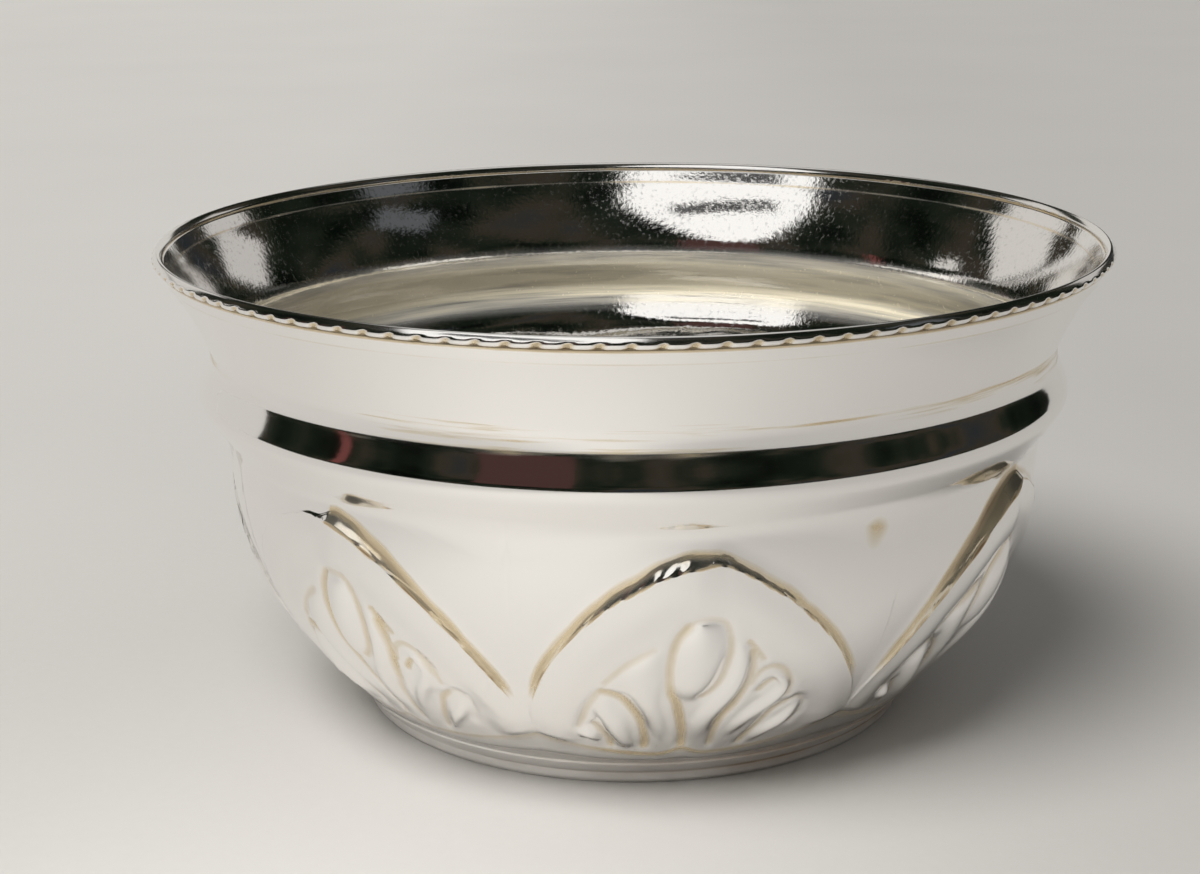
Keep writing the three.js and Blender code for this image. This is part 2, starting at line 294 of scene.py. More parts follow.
print(len(RIDGES), "ridges and", len(GROOVES), "grooves in a palmette")

# %% [markdown]
# The relief
#
# The height of the embossing at any place on a panel is worked out from distances: to the
# outline, which gives the steep ledge and the smooth border inside it, and to the strokes. The
# same distances say where polish never reaches, in the grooves and along the ledge, where old
# silver keeps a line of brown, and where a soft band of painted reflection lies above the ledge.
# Working both out together keeps the colour exactly in its crevice.
# All lengths are millimetres, and each list has one number for each panel, since no two were
# struck alike.

# %% How bold each panel is, and how much grime and painted reflection its ledge gets
FILLET = 2.0
FILLET_SLOPE = 0.26
EDGE = 0.2
EDGE_SLOPE = 0.76
LEFT_BOLDNESS = np.array([0.66, 1.1, 0.4, 0.3, 0.4, 0.2, 0.15])
RIGHT_BOLDNESS = np.array([0.25, 0.3, 0.3, 0.4, 0.3, 0.1, 0.75])
BOLD_POWER = np.array([4.5, 2.2, 4, 4, 4, 4, 5])
# Strength of each panel's ledge marks: grime on the crest and face, painted reflection above.
LEFT_GRIME_AND_REFLECTION = np.array([0.9, 1.0, 0.7, 0.7, 0.7, 0.3, 0.25])
RIGHT_GRIME_AND_REFLECTION = np.array([0.85, 0.7, 0.7, 0.7, 0.7, 0.15, 1.0])
LEFT_CRISPNESS = np.array([1.0, 1.0, 1.0, 1.0, 1.0, 0.5, 0.35])
MOTIF_STRETCH = np.array([1.0, 1.05, 1.06, 1.04, 1.07, 1.0, 1.07])
BORDER_SWELL = 0.1
BORDER_DIP = 0.34
FIELD_START = 2.2
FIELD_END = 5.0
MEAN_RADIUS = 33.6
print("Steep edge of each panel's left side at its point:", LEFT_BOLDNESS + EDGE, "mm wide")

# %% Distances on a panel
POINT_WIDTH = 3.0
POINT_SOFTENING = 0.75
WAVERS = ((0.07, 47, 1), (0.05, 83, 2.3))


def ramp(value, start, end):
    """0 at start, 1 at end and smooth between them."""
    t = np.clip((value - start) / (end - start), 0, 1)
    return t * t * (3 - 2 * t)


def distance(across, up, line):
    """Distance from each place to the nearest point of a line."""
    gaps = np.hypot(across[..., None] - line[:, 0], up[..., None] - line[:, 1])
    return gaps.min(axis=-1)


def soft_depth(panel, phi, z, depth):
    """The depth inside a panel, rounded off where both sides of the arch are equally near."""
    angles = HALF_PANEL * np.linspace(0, 1, 61)
    gaps = []
    for side in (-1, 1):
        heights = arch(panel, side * angles)
        line = np.column_stack([side * angles * wall_radius(heights), heights])
        gaps.append(distance(phi * wall_radius(z), z, line))
    nearer, farther = np.minimum(*gaps), np.maximum(*gaps)
    point_share = np.clip(1 - (farther - nearer) / POINT_WIDTH, 0, 1)
    return depth - POINT_SOFTENING * point_share ** 2 * ramp(depth, 0, 2)


def depth_in_panel(panel, phi, z):
    """Distance inside a panel's crest, negative outside it. A chaser's hand makes it waver."""
    angles = HALF_PANEL * np.sin(np.linspace(-math.pi / 2, math.pi / 2, 141))
    heights = arch(panel, angles)
    line = np.column_stack([angles * wall_radius(heights), heights])
    below = np.column_stack([np.repeat(line[[0, -1], 0], 8), np.tile(np.linspace(2, SPRING, 8), 2)])
    gap = distance(phi * wall_radius(z), z, np.vstack([line, below]))
    waver = sum(size * np.sin(phi * beats + shift * panel) for size, beats, shift in WAVERS)
    depth = np.where(z < arch(panel, phi), gap, -gap)
    return depth + waver * np.cos(phi / HALF_PANEL * math.pi / 2)


def nearest_depth(panel, phi, z):
    """The depth for a panel or for the neighbour on that side, whichever is greater."""
    side = np.where(phi < 0, -1, 1)
    depth = depth_in_panel(panel, phi, z)
    for step in (-1, 1):
        beside = depth_in_panel((panel + step) % PANELS, phi - step * 2 * HALF_PANEL, z)
        depth = np.where(side == step, np.maximum(depth, beside), depth)
    return depth


sample = nearest_depth(0, np.zeros(3), np.array([10.0, 17.0, 23.0]))
print("Depth up the middle panel's axis:", np.round(sample, 2))

# %% Press the strokes
TAPER = 0.9
PRESSED = 0.75
PRESSED_WIDTH = 1.2
THIN_GRIME = 0.2
GRIME_WIDTH = 1.6


def palmette(across, up):
    """(swelling, pressing, grime) of the strokes at places in the middle panel's measure."""
    swelling = np.zeros_like(across)
    for lift, places in RIDGES.values():
        line = smooth_line(places)
        taper = 1 - TAPER * np.linspace(-1, 1, len(line)) ** 2
        gaps = np.hypot(across[..., None] - line[:, 0], up[..., None] - line[:, 1]) / line[:, 2]
        swell = lift * taper * np.clip(1 - gaps ** 2, 0, 1) ** 1.6
        swelling = np.maximum(swelling, swell.max(axis=-1))
    pressing = np.zeros_like(across)
    grime = np.zeros_like(across)
    for depth, width, places in GROOVES.values():
        gaps = distance(across, up, smooth_line(places)) / width
        pressing = np.maximum(pressing, PRESSED * depth * np.exp(-(gaps / PRESSED_WIDTH) ** 2))
        grime = np.maximum(grime, (THIN_GRIME + depth) * np.exp(-(gaps / GRIME_WIDTH) ** 2))
    return swelling, pressing, grime


sample = palmette(np.array([-0.7]), np.array([16.0]))
print("Swelling in the middle of the egg:", np.round(sample[0], 2), "mm")

# %% Raise the ledge and dirty it
SHADE = 0.7
SHADE_WIDTH = 0.6
LINE_WIDTH = 0.16
FACE_GRIME = 0.42
STAINS = [(31.5, 26.0, 1.5, 0.62), (-41.0, 27.0, 1.2, 0.35)]


def edge_width(panel, phi, z):
    """Width of the steep edge just outside the crest: widest near the point of the arch."""
    rightward = ramp(phi, -0.05, 0.03)
    boldness = LEFT_BOLDNESS[panel] * (1 - rightward) + RIGHT_BOLDNESS[panel] * rightward
    share = np.clip((z - SPRING) / (APEX[panel] - SPRING), 0, 1)
    return EDGE + boldness * share ** BOLD_POWER[panel]


def ledge_lift(depth, edge):
    """Height of the ledge outside a crest: a wide soft fillet and a narrow steep edge."""
    fillet = FILLET_SLOPE * FILLET / 2 * np.clip(1 + depth / FILLET, 0, 1) ** 2
    return fillet + EDGE_SLOPE * edge * np.clip(1 + depth / edge, 0, 1) ** 1.15


def ledge_grime_and_reflection(panel, phi, depth, edge):
    """Painted reflection and grime by the ledge: a soft band above, a crest line and a face film.
    """
    # The soft band is painted reflection: straw where the fillet mirrors the brownish table near
    # the horizon.
    shade = np.exp(-((depth + edge + 0.1) / SHADE_WIDTH) ** 2)
    line = np.exp(-((depth - 0.05) / LINE_WIDTH) ** 2)
    face = FACE_GRIME * ramp(depth, -edge - 0.1, -edge + 0.1) * ramp(-depth, -0.1, 0.05)
    share = np.where(phi < 0, LEFT_GRIME_AND_REFLECTION[panel], RIGHT_GRIME_AND_REFLECTION[panel])
    return share * np.maximum.reduce([SHADE * shade, line, face])


def stains(panel, phi, z):
    """Round stains on the plain wall, each with its angle in degrees, height, size and strength."""
    turn = FIRST_PANEL + panel * 2 * HALF_PANEL + phi
    grime = 0 * z
    for angle, height, size, strength in STAINS:
        gap = np.hypot((turn - math.radians(angle)) * wall_radius(z), z - height)
        grime = np.maximum(grime, strength * np.exp(-(gap / size) ** 2))
    return grime


print("A ledge is at least", np.round(ledge_lift(0, EDGE), 2), "mm high")

# %% Put the relief of a panel together
TOE_SHADE = 0.5
TOE_SHADE_WIDTH = 0.4


def embossing(panel, phi, z):
    """(lift, grime with painted reflection) of a panel at arrays of angle from its axis and height.
    """
    depth = nearest_depth(panel, phi, z)
    edge = edge_width(panel, phi, z)
    sharp = ramp(z, 8.5, 14)
    crispness = 1 - (1 - LEFT_CRISPNESS[panel]) * ramp(-phi, 0, 0.07)
    ledge = ledge_lift(depth, edge) * (0.45 + 0.55 * sharp) * crispness
    foot = ramp(z, toe(phi) - 0.2, toe(phi) + 1.0)
    swelling, pressing, grime = palmette(phi * MEAN_RADIUS, TOE + (z - TOE) / MOTIF_STRETCH[panel])
    inside = soft_depth(panel, phi, z, depth)
    low = 0.3 + 0.7 * ramp(z, 6, 11)
    shown = ramp(inside, 1.2 * low, 3.0 * low)
    border = BORDER_SWELL * ramp(inside, 0, 2) - BORDER_DIP * ramp(inside, FIELD_START, FIELD_END)
    lift = ledge + np.maximum(border, swelling * shown - BORDER_DIP) - pressing * shown
    lift = np.where(depth > 0, lift, ledge)
    edging = sharp * ledge_grime_and_reflection(panel, phi, depth, edge)
    toe_shade = TOE_SHADE * np.exp(-((z - toe(phi)) / TOE_SHADE_WIDTH) ** 2)
    grime = np.maximum.reduce([grime * shown, edging, toe_shade, stains(panel, phi, z)])
    return foot * lift, grime * ramp(z, SEAT - 1, SEAT)


sample = embossing(0, np.zeros(4), np.array([10.0, 17.0, 23.0, 25.0]))
print("Lift up the middle panel's axis:", np.round(sample[0], 2))

# %% [markdown]
# Rows and columns of the body
#
# A spun mesh is a grid: rows go round, columns go up. Straight rows would cut the arches into
# steps, so the rows are bent to run along each arch and crowd together on its ledge. The tables
# below say how many rows each stretch of the wall gets, outside and inside, from the foot up.

# %% List the rows
PANEL_COLUMNS = [132, 100, 64, 60, 60, 68, 100]
COLUMNS = sum(PANEL_COLUMNS)
OUTSIDE_STEPS = {"seat": 2, "toe": 4, "field": 52, "crest": 10, "ledge": 6, "plain": 6,
                 "underside": 4, "dome": 4, "turn": 3, "pinch": 3, "hollow": 3, "neck": 2,
                 "flare": 8, "lip": 2}
INSIDE_STEPS = {"toe": 2, "field": 10, "crest": 1, "ledge": 3, "plain": 5,
                "underside": 3, "dome": 3, "turn": 3, "pinch": 2, "hollow": 3, "neck": 2,
                "flare": 7, "lip": 2}
EXTRA_PLACES = {"flare": [0.955], "lip": [0.25]}


def listed_rows(steps):
    """(stretch, place) of each row: even steps through a stretch without its end, and extras."""
    rows = []
    for name, count in steps.items():
        places = [step / count for step in range(count)] + EXTRA_PLACES.get(name, [])
        rows += [(name, place) for place in sorted(places)]
    return rows


outside_rows = listed_rows(OUTSIDE_STEPS)
inside_rows = listed_rows(INSIDE_STEPS)
print(len(outside_rows), "rows outside,", len(inside_rows), "inside,", COLUMNS, "columns")

# %% Height of a row at an angle
EMBOSSED = ("seat", "toe", "field", "crest", "ledge", "plain")
CREASE_TOP = STRETCHES["crease"][1][1]
NUDGE = 0.004


def stretch_ends(name, panel, phi):
    """Lowest and highest height of a stretch at an angle."""
    if name in STRETCHES:
        foot, top = STRETCHES[name]
        return np.full_like(phi, foot[1]), np.full_like(phi, top[1])
    top = arch(panel, phi)
    rise = np.abs(arch(panel, phi + NUDGE) - arch(panel, phi - NUDGE))
    upright = np.hypot(1, rise / (2 * NUDGE * MEAN_RADIUS))
    toe_top = toe(phi) + np.minimum(0.9, 0.3 * (top - toe(phi)))
    under = top - np.minimum(0.35 * upright, 0.4 * (top - toe_top))
    edge = edge_width(panel, phi, top) + 0.1
    above = top + np.minimum(edge * upright, 0.6 * (CREASE_TOP - top))
    ledge_top = top + np.minimum((edge + FILLET) * upright, 0.85 * (CREASE_TOP - top))
    ends = {
        "seat": (np.full_like(phi, SEAT), toe(phi)),
        "toe": (toe(phi), toe_top),
        "field": (toe_top, under),
        "crest": (under, above),
        "ledge": (above, ledge_top),
        "plain": (ledge_top, np.full_like(phi, CREASE_TOP)),
    }
    return ends[name]


def column_angles():
    """(panel, angle from its axis) of each column, drawn a little towards the panels' edges."""
    panels = []
    angles = []
    for panel, count in enumerate(PANEL_COLUMNS):
        t = np.arange(count) / (count / 2) - 1
        panels.append(np.full(count, panel))
        angles.append(HALF_PANEL * (0.75 * t + 0.25 * np.sin(math.pi / 2 * t)))
    return np.concatenate(panels), np.concatenate(angles)


column_panel, column_phi = column_angles()
column_turn = FIRST_PANEL + column_panel * 2 * HALF_PANEL + column_phi
spacing = np.diff(column_phi[:PANEL_COLUMNS[0]]).mean() * BELLY_RADIUS
print("Columns of the middle panel are", round(float(spacing), 2), "mm apart")

# %% [markdown]
# Filling the grid
#
# Every row and column of the body now gets its place. Two more numbers ride along: grime, with
# the painted reflection above the ledges in it, and 1 if the place is inside, because the inside
# was polished less and has gone golden. The sheet is embossed on both sides, more softly inside.

# %% Places of the whole grid
BASE_FLAT = 23.7
BASE_HEIGHT = 1.6
SEAT_INNER = 25.7
SHARE_INSIDE = 0.8
GRIME_INSIDE = 0.3
LIP_LINE = (0.35, 0.45)
LIP_LINE_WIDTH = 0.22


def row_heights(name, t, panel, phi):
    """Height of a row at each angle in a panel."""
    low, high = stretch_ends(name, panel, phi)
    return low + (high - low) * t


def wall_rows(listed, inside):
    """The listed rows: radius, height, grime (with painted reflection) and inside, one for each
    column.
    """
    places = np.zeros((len(listed), 4, COLUMNS))
    bent = [index for index, row in enumerate(listed) if row[0] in EMBOSSED]
    for panel in range(PANELS):
        here = np.flatnonzero(column_panel == panel)
        phi = column_phi[here]
        z = np.array([row_heights(name, t, panel, phi) for name, t in listed])
        lift = np.zeros_like(z)
        grime = np.zeros_like(z)
        lift[bent], grime[bent] = embossing(panel, np.tile(phi, (len(bent), 1)), z[bent])
        if inside:
            lift = lift * SHARE_INSIDE - SHEET
            grime = grime * GRIME_INSIDE
        places[:, 0, here], places[:, 1, here] = wall_point(z, lift)
        lip_line = LIP_LINE[inside] * np.exp(-((z - STRETCHES["lip"][0][1]) / LIP_LINE_WIDTH) ** 2)
        places[:, 2, here] = np.maximum(grime, lip_line)
    places[:, 3] = float(inside)
    return list(places)


def ring(radius, height, grime=0.0, inside=0.0):
    """A plain round row."""
    return np.array([np.full(COLUMNS, float(value)) for value in (radius, height, grime, inside)])


LIP_LEAN = math.radians(STRETCHES["lip"][1][2])
lip_way = np.array([math.sin(LIP_LEAN), math.cos(LIP_LEAN)])
lip_normal = np.array([lip_way[1], -lip_way[0]])
lip_end = np.array(STRETCHES["lip"][1][:2])
solder = lip_end + 0.2 * lip_way

rows = [ring(0, BASE_HEIGHT), ring(BASE_FLAT * 0.6, BASE_HEIGHT), ring(BASE_FLAT, BASE_HEIGHT, 0.2),
        ring(SEAT_INNER, SEAT, 0.6)]
rows += wall_rows(outside_rows, False)
rows += [ring(*(lip_end - 0.15 * lip_way), 0.3), ring(*lip_end, 0.6), ring(*solder, 0.7)]
rows += [ring(*(solder - SHEET * lip_normal), 0.5, 1.0),
         ring(*(lip_end - SHEET * lip_normal), 0.1, 1.0)]
rows += wall_rows(inside_rows, True)[::-1]
rows += [ring(BELLY_FOOT - 1.2, SEAT + SHEET, 0.2, 1.0),
         ring(BASE_FLAT, BASE_HEIGHT + SHEET, 0.1, 1.0),
         ring(BASE_FLAT * 0.6, BASE_HEIGHT + SHEET, 0, 1.0), ring(0, BASE_HEIGHT + SHEET, 0, 1.0)]
grid = np.array(rows)
print(f"Grid of {grid.shape[0]} rows and {grid.shape[2]} columns, top at {grid[:, 1].max():.2f} mm")

# %% [markdown]
# Rolling up the body
#
# A lathe's work can be rolled up like paper. Blender's grid operator makes a flat sheet with a
# corner for every row and column, each corner goes to its own place in the grid above, and the
# last column lies on the first one. Merging doubles then sews the seam and closes the two poles,
# which gives the arches without a single face made by hand.

# %% Roll a sheet into a round piece
MERGE = 1e-7


def finished(bm, name):
    """A new object from a bmesh: doubles merged, faces outwards, shaded smooth."""
    bmesh.ops.remove_doubles(bm, verts=bm.verts, dist=MERGE)
    bmesh.ops.recalc_face_normals(bm, faces=bm.faces)
    for face in bm.faces:
        face.smooth = True
    mesh = bpy.data.meshes.new(name)
    bm.to_mesh(mesh)
    bm.free()
    piece = bpy.data.objects.new(name, mesh)
    bpy.context.scene.collection.objects.link(piece)
    return piece


def rolled(name, sheet, turns):
    """A round piece from places of (row, part, column) and the turn of each column."""
    row_count, _, column_count = sheet.shape
    bm = bmesh.new()
    bmesh.ops.create_grid(bm, x_segments=column_count, y_segments=row_count - 1, size=1.0)
    grime_layer = bm.verts.layers.float.new("grime")
    inside_layer = bm.verts.layers.float.new("inside")
    sines, cosines = np.sin(turns), np.cos(turns)
    for corner in bm.verts:
        column = round((corner.co.x + 1) / 2 * column_count) % column_count
        row = round((corner.co.y + 1) / 2 * (row_count - 1))
        radius, height, grime, inside = sheet[row, :, column]
        corner.co = (radius * sines[column] * MM, -radius * cosines[column] * MM, height * MM)
        corner[grime_layer] = grime
        corner[inside_layer] = inside
    return finished(bm, name)


body = rolled("bowl_sheet", grid, column_turn)
print("Body has", len(body.data.polygons), "faces and", len(body.data.vertices), "corners")

# %% [markdown]
# The rim wire
#
# A round wire stiffens the edge. It was planished a little, which leaves a flat on its upper
# outer side and one on the inside, and its lower outer side is milled with notches, like the edge
# of a coin. It is a sheet too: rows go round the wire's section, columns round the bowl, eight
# for each notch. On that side the rows are pushed in by a pulse that repeats 116 times and lags
# with the angle round the wire, which gives the slant. The last row lies on the first.

# %% Roll and notch the wire
WIRE = 0.54
WIRE_SIDES = 28
FLATS = ((38, 0.4), (142, 0.44))
NOTCHES = 116
NOTCH_DEPTH = 0.17
NOTCH_SLANT = 0.08
NOTCH_COLUMNS = 8
NOTCH_SHARPNESS = 4
FLAT_SHARPNESS = 10.0
wire_centre = lip_end - SHEET / 2 * lip_normal + (WIRE + 0.12) * lip_way

rim_turns = np.arange(NOTCHES * NOTCH_COLUMNS) / (NOTCHES * NOTCH_COLUMNS) * 2 * math.pi
tilt = np.linspace(-math.pi, math.pi, WIRE_SIDES + 1)[:, None]
beat = rim_turns[None, :] * NOTCHES / (2 * math.pi) - NOTCH_SLANT * tilt
pulse = (0.5 + 0.5 * np.cos(2 * math.pi * beat)) ** NOTCH_SHARPNESS
milled = (ramp(tilt, math.radians(-115), math.radians(-70))
          * ramp(-tilt, math.radians(-18), math.radians(8)))
section = WIRE ** -FLAT_SHARPNESS
for facing, distance_out in FLATS:
    facing_share = np.clip(np.cos(tilt - math.radians(facing)), 0.05, 1)
    section = section + (distance_out / facing_share) ** -FLAT_SHARPNESS
reach = section ** (-1 / FLAT_SHARPNESS) - NOTCH_DEPTH * pulse * milled
seam = ramp(-tilt, math.radians(70), math.radians(120)) + 0 * pulse
rim_sheet = np.stack([wire_centre[0] + reach * np.cos(tilt), wire_centre[1] + reach * np.sin(tilt),
                      np.maximum((0.22 + 0.5 * pulse) * milled, 0.5 * seam), 0 * pulse], axis=1)
rim = rolled("rim_milled", rim_sheet, rim_turns)
print("Rim has", len(rim.data.polygons), "faces and", NOTCHES, "notches")

# %% [markdown]
# The foot ring
#
# The foot is turned from a strip: a narrow flat that rests on the table, an upright edge, a small
# ledge and a slope up to the seat. It is small enough to be made as the lathe made it. Its
# section is drawn as one face, the bevel operator rounds the corners as wear does, the face is
# dropped and its outline is spun round the axis.

# %% Turn the foot ring
FOOT_RADIUS = 27.7
FOOT_SECTION = [(25.1, 0.0), (26.4, 0.0), (26.75, 0.39), (26.75, 1.125), (27.1, 1.475),
                (FOOT_RADIUS, 2.25), (FOOT_RADIUS, SEAT), (26.0, SEAT), (25.1, 1.3)]
FOOT_WEAR = 0.1
FOOT_COLUMNS = 240
FOOT_GRIME = 0.3
CREVICES = ((0.4, SEAT, 0.3), (0.28, 1.2, 0.2))
# How much darker the foot's right side is painted, as painted shade.
RIGHT_PAINTED_SHADE = 0.8

outline = bmesh.new()
corners = [outline.verts.new((radius * MM, 0, height * MM)) for radius, height in FOOT_SECTION]
face = outline.faces.new(corners)
bmesh.ops.bevel(outline, geom=corners, offset=FOOT_WEAR * MM, offset_type="OFFSET", segments=3,
                profile=0.5, affect="VERTICES", material=-1)
bmesh.ops.delete(outline, geom=outline.faces[:], context="FACES_ONLY")
bmesh.ops.spin(outline, geom=outline.verts[:] + outline.edges[:], cent=(0, 0, 0), axis=(0, 0, 1),
               dvec=(0, 0, 0), angle=2 * math.pi, steps=FOOT_COLUMNS, use_merge=True,
               use_normal_flip=False, use_duplicate=False)
foot = finished(outline, "foot_turned")
for name in ("grime", "inside"):
    foot.data.attributes.new(name, "FLOAT", "POINT")
for index, corner in enumerate(foot.data.vertices):
    level = corner.co.z / MM
    grime = FOOT_GRIME + sum(strength * math.exp(-((level - height) / width) ** 2)
                             for strength, height, width in CREVICES)
    # Crevice grime, plus painted shade that darkens the foot towards the right, where it mirrors
    # the shadow on the table.
    rightward = corner.co.x / (FOOT_RADIUS * MM)
    foot.data.attributes["grime"].data[index].value = grime * (1 + RIGHT_PAINTED_SHADE * rightward)
print("Foot has", len(foot.data.polygons), "faces")

# %% [markdown]
# Writing shaders as sums
#
# A material is a net of nodes, and arithmetic on surfaces soon becomes hard to follow as wires.
# The small class below holds one output of a node and turns Python's operators into Math nodes,
# so that `1 - grime * 0.5` reads as what it means. Every node is added by one method, which sets
# the node's own settings first and then its sockets, and kinds that come back often have a short
# method each.

# %% A socket that can be added and multiplied
class Value:
    """One output of a node, with arithmetic."""

    def __init__(self, finish, output):
        self.finish = finish
        self.output = output

    def math(self, operation, first, second):
        return self.finish.node("ShaderNodeMath", {"operation": operation}, {0: first, 1: second})

    def __add__(self, other):
        return self.math("ADD", self, other)

    def __radd__(self, other):
        return self.math("ADD", other, self)

    def __sub__(self, other):
        return self.math("SUBTRACT", self, other)

    def __rsub__(self, other):
        return self.math("SUBTRACT", other, self)

    def __mul__(self, other):
        return self.math("MULTIPLY", self, other)

    def __rmul__(self, other):
        return self.math("MULTIPLY", other, self)

    def __truediv__(self, other):
        return self.math("DIVIDE", self, other)

    def __rtruediv__(self, other):
        return self.math("DIVIDE", other, self)

    def __pow__(self, other):
        return self.math("POWER", self, other)

    def __rpow__(self, other):
        return self.math("POWER", other, self)


class Finish:
    """The node tree of a material or world. Every node is added by the method called node."""

    def __init__(self, holder):
        holder.use_nodes = True
        self.holder = holder
        self.tree = holder.node_tree
        self.tree.nodes.clear()

    def node(self, kind, settings=None, sockets=None, output=0):
        made = self.tree.nodes.new(kind)
        for name, value in (settings or {}).items():
            if name == "stops":
                self.set_stops(made.color_ramp, value)
            else:
                setattr(made, name, value)
        for name, value in (sockets or {}).items():
            self.feed(self.find(made.inputs, name), value)
        if not made.outputs:
            return made
        return Value(self, self.find(made.outputs, output))

    def fade(self, value, start, end):
        """0 where a value is at start, 1 at end and smooth between them."""
        return self.node("ShaderNodeMapRange", {"interpolation_type": "SMOOTHSTEP"},
                         {"Value": value, "From Min": start, "From Max": end})

    def band(self, value, start, full, fading, end):
        """0 below start, 1 from full to fading and 0 above end."""
        return self.fade(value, start, full) * self.fade(value, end, fading)

    def parts(self, place):
        """The x, y and z of a place."""
        split = self.node("ShaderNodeSeparateXYZ", sockets={0: place})
        return [Value(self, socket) for socket in split.output.node.outputs]

    def noise(self, place, scale, detail):
        """Cloudy noise between 0 and 1."""
        return self.node("ShaderNodeTexNoise",
                         sockets={"Vector": place, "Scale": scale, "Detail": detail})

    def mix(self, share, first, second):
        """The first colour where share is 0 and the second where it is 1."""
        return self.node("ShaderNodeMix", {"data_type": "RGBA"},
                         {"Factor_Float": share, "A_Color": first, "B_Color": second},
                         output="Result_Color")

    def find(self, sockets, name):
        if isinstance(name, int):
            return sockets[name]
        return next(socket for socket in sockets if name in (socket.identifier, socket.name))

    def feed(self, socket, value):
        if isinstance(value, Value):
            self.tree.links.new(value.output, socket)
        else:
            socket.default_value = value

    def set_stops(self, color_ramp, stops):
        while len(color_ramp.elements) < len(stops):
            color_ramp.elements.new(1.0)
        for element, (position, color) in zip(color_ramp.elements, stops):
            element.position = position
            element.color = (*color, 1.0)


print("Shader helpers are ready")

# %% [markdown]
# Silver
#
# Clean silver reflects about nine tenths of the light, slightly less in the blue, so it looks a
# little warm. Three things keep it from looking like chrome. Polishing leaves faint lines that
# run round the bowl and small soft pits, which blur the edges of reflections. Grime stays in the
# crevices as straw and brown, and where it is thick it is a matt film rather than a mirror, so it
# lowers Metallic too. And the inside has a golden film in the hollow of the shoulder, where a
# cloth doesn't reach. The lines are noise on a place's direction from the axis and its height,
# stretched so that it changes slowly round the bowl and fast across it.
# The grime numbers also carry painted light: a straw band of painted reflection above each ledge
# and painted shade on the right of the foot.

# %% Mix the silver
CLEAN_SILVER = (0.95, 0.935, 0.915)
STRAW = (0.78, 0.66, 0.46)
BROWN = (0.3, 0.2, 0.11)
GOLDEN = (1.0, 0.91, 0.7)
GREY_DIRT = (0.66, 0.62, 0.58)
MATT_GRIME = 0.7
MATT_FILM = 0.8
NECK_WEAR = (0.0335, 0.0352, 0.0362, 0.0385)
HOLLOW_FILM = (0.029, 0.0318, 0.034, 0.037)
LINES_ROUND = 2.5
LINES_ACROSS = 1400
PIT_SCALE = 2200.0
CLOUD_SCALE = 110.0


def silver(name, polish, pitting, lines, thin_dirt=STRAW):
    """A silver finish: roughness, strength of pits and polishing lines, colour of thin dirt."""
    finish = Finish(bpy.data.materials.new(name))
    place = finish.node("ShaderNodeTexCoord", output="Object")
    x, y, z = finish.parts(place)
    out = (x * x + y * y + 1e-8) ** 0.5
    streak_place = finish.node("ShaderNodeCombineXYZ", sockets={
        "X": x / out * LINES_ROUND, "Y": y / out * LINES_ROUND, "Z": (z + out) * LINES_ACROSS})
    streak = finish.noise(streak_place, 1.0, 3.0)
    pits = finish.noise(place, PIT_SCALE, 3.0)
    cloud = finish.noise(place, CLOUD_SCALE, 4.0)
    # The grime attribute holds real grime and also painted reflection above the ledges and painted
    # shade on the foot's right side.
    grime = finish.node("ShaderNodeAttribute", {"attribute_name": "grime"}, output="Fac")
    inner = finish.node("ShaderNodeAttribute", {"attribute_name": "inside"}, output="Fac")

    wear = finish.band(z, *NECK_WEAR) * (1 - inner) * (streak * 1.5) ** 4 * 0.55
    # So dirt, and the colour and Metallic made from it, carry that painted light too.
    dirt = grime * (0.3 + cloud * 1.4) + wear
    dirt_stops = [(0.0, CLEAN_SILVER), (0.25, CLEAN_SILVER), (0.55, thin_dirt), (1.0, BROWN)]
    dirt_color = finish.node("ShaderNodeValToRGB", {"stops": dirt_stops}, {"Fac": dirt})
    film = finish.band(z, *HOLLOW_FILM) * inner * (streak * 2.6 - 0.2)
    color = finish.mix(film, dirt_color, (*GOLDEN, 1.0))
    bumps = pits * pitting * (0.15 + inner * 1.25) + streak * lines * (0.5 + film * 4.0)
    normal = finish.node("ShaderNodeBump",
                         sockets={"Strength": 1.0, "Distance": 1e-5, "Height": bumps})
    speck = finish.fade(pits, 0.52, 0.7)
    roughness = polish + (cloud - 0.5) * 0.05 + dirt * 0.14 + film * 0.08 + speck * inner * 0.14
    metallic = 1 - film * MATT_FILM - finish.fade(dirt, 0.25, 0.9) * MATT_GRIME
    shader = finish.node("ShaderNodeBsdfPrincipled", sockets={
        "Base Color": color, "Metallic": metallic, "Roughness": roughness, "Normal": normal})
    finish.node("ShaderNodeOutputMaterial", sockets={"Surface": shader})
    return finish.holder


body_silver = silver("silver_body", 0.07, 0.9, 0.8)
rim_silver = silver("silver_rim", 0.12, 0.5, 0.4)
foot_silver = silver("silver_foot", 0.32, 0.8, 1.6, GREY_DIRT)
print("Finishes:", body_silver.name, rim_silver.name, foot_silver.name)

# %% Put each piece in the frame
for piece, node, slot_name, finish in ((body, "bowl_body", "silver_body", body_silver),
                                       (rim, "rim_wire", "silver_rim", rim_silver),
                                       (foot, "foot_ring", "silver_foot", foot_silver)):
    piece.data.materials.append(finish)
    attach(piece, "root")
    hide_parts(node)
    print(piece.name, "stands for", node)

# %% [markdown]
# The table
#
# The bowl stands on a pale matt table that fills the picture, and its lower half is full of that
# table. Its colour has faint clouds and specks of its own, and painted light as well: a painted
# pool of light just in front of the bowl, and painted shade that darkens it towards the right.

# %% Make the table
FLOOR_COLOR = (0.588, 0.57, 0.543)
FLOOR_HALF = 3.2
# The painted pool of light in front of the bowl: where across, how wide, how strong and how deep.
PAINTED_POOL_MIDDLE = -0.02
PAINTED_POOL_WIDTH = 0.05
PAINTED_POOL_SHARE = 0.48
PAINTED_POOL_DEPTH = (-0.7, -0.25, -0.08, 0.02)


